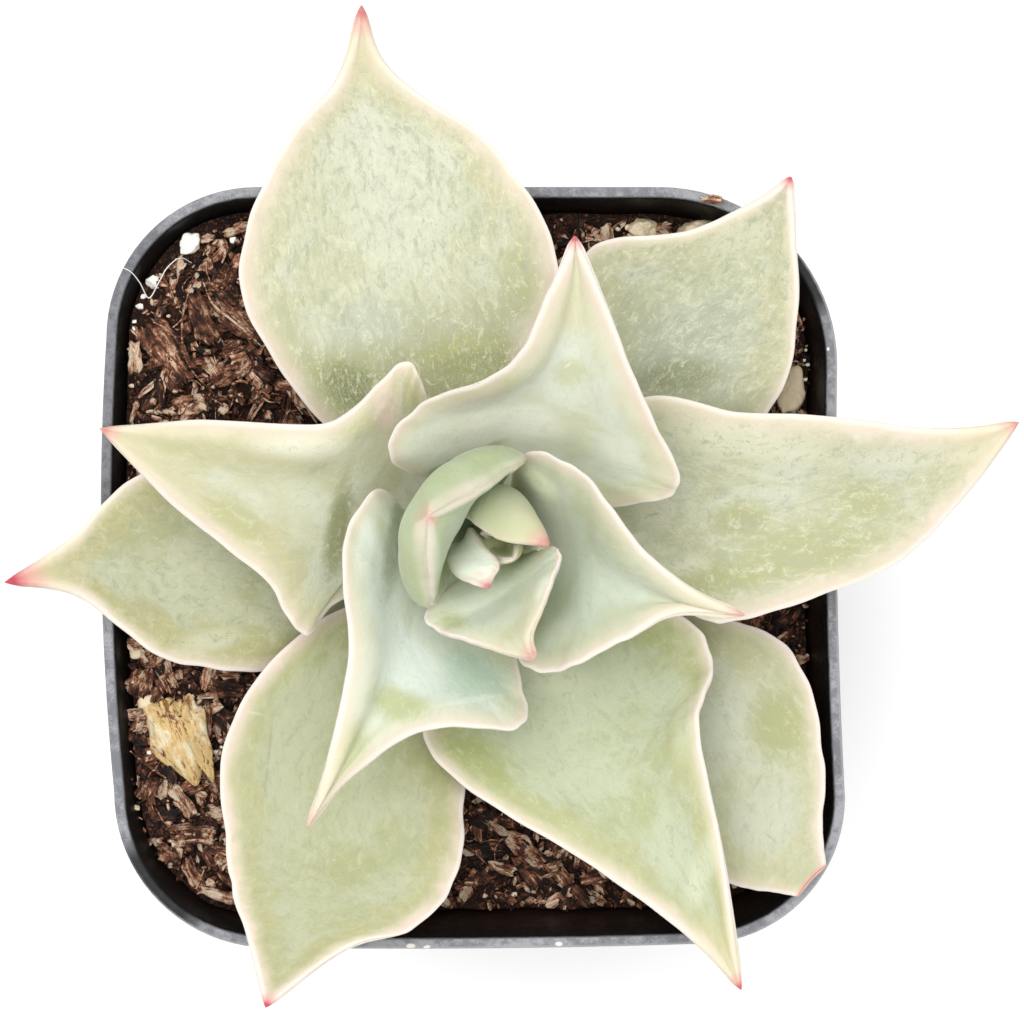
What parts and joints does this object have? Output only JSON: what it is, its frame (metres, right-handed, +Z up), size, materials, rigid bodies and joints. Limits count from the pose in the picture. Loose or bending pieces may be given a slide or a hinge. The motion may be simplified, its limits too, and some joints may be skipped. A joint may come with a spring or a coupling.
{
  "type": "potted madiba echeveria",
  "caption": "Rosette succulent with broad, pointed, pale grey-green leaves on a short stem, in bark mix in a small square black nursery pot.",
  "frame": {"origin": "centre of the pot's underside, on the surface that it stands on", "axes": "+Z up, +X to the picture's right, +Y to the picture's top, which is the back of the pot"},
  "size_m": [0.076, 0.0753, 0.0775],
  "materials": {
    "pot": "moulded black plastic, lightly scuffed along the rim",
    "soil": "loose dark bark and peat mix, rough",
    "stem": "smooth pale green plant skin, dull",
    "leaf": "glaucous grey-green skin with a powdery bloom, cream margins and pink tips",
    "pumice": "rough tan pumice",
    "perlite": "rough white perlite",
    "bark_chip": "pale split bark",
    "bark_flake": "dry papery tan flake, creased"
  },
  "bodies": {
    "root": {"pot": "pot", "soil": "soil", "stem": "stem", "leaf_01_southeast_low": "leaf", "leaf_02_west_low": "leaf", "leaf_03_northeast_low": "leaf", "leaf_04_southwest_low": "leaf", "leaf_05_north_low": "leaf", "leaf_06_south": "leaf", "leaf_07_east": "leaf", "leaf_08_west": "leaf", "leaf_09_southwest": "leaf", "leaf_10_north": "leaf", "leaf_11_east": "leaf", "leaf_12_south_cup": "leaf", "leaf_13_west_cup": "leaf", "leaf_14_east_cup": "leaf", "leaf_15_south_bud": "leaf", "pumice_01_north": "pumice", "pumice_02_northeast": "pumice", "pumice_03_east": "pumice", "perlite_01_northwest": "perlite", "perlite_02_northwest": "perlite", "bark_chip_01_west": "bark_chip", "bark_chip_02_south": "bark_chip", "bark_chip_03_south": "bark_chip", "bark_chip_04_south": "bark_chip", "bark_flake": "bark_flake"}
  },
  "joints": []
}
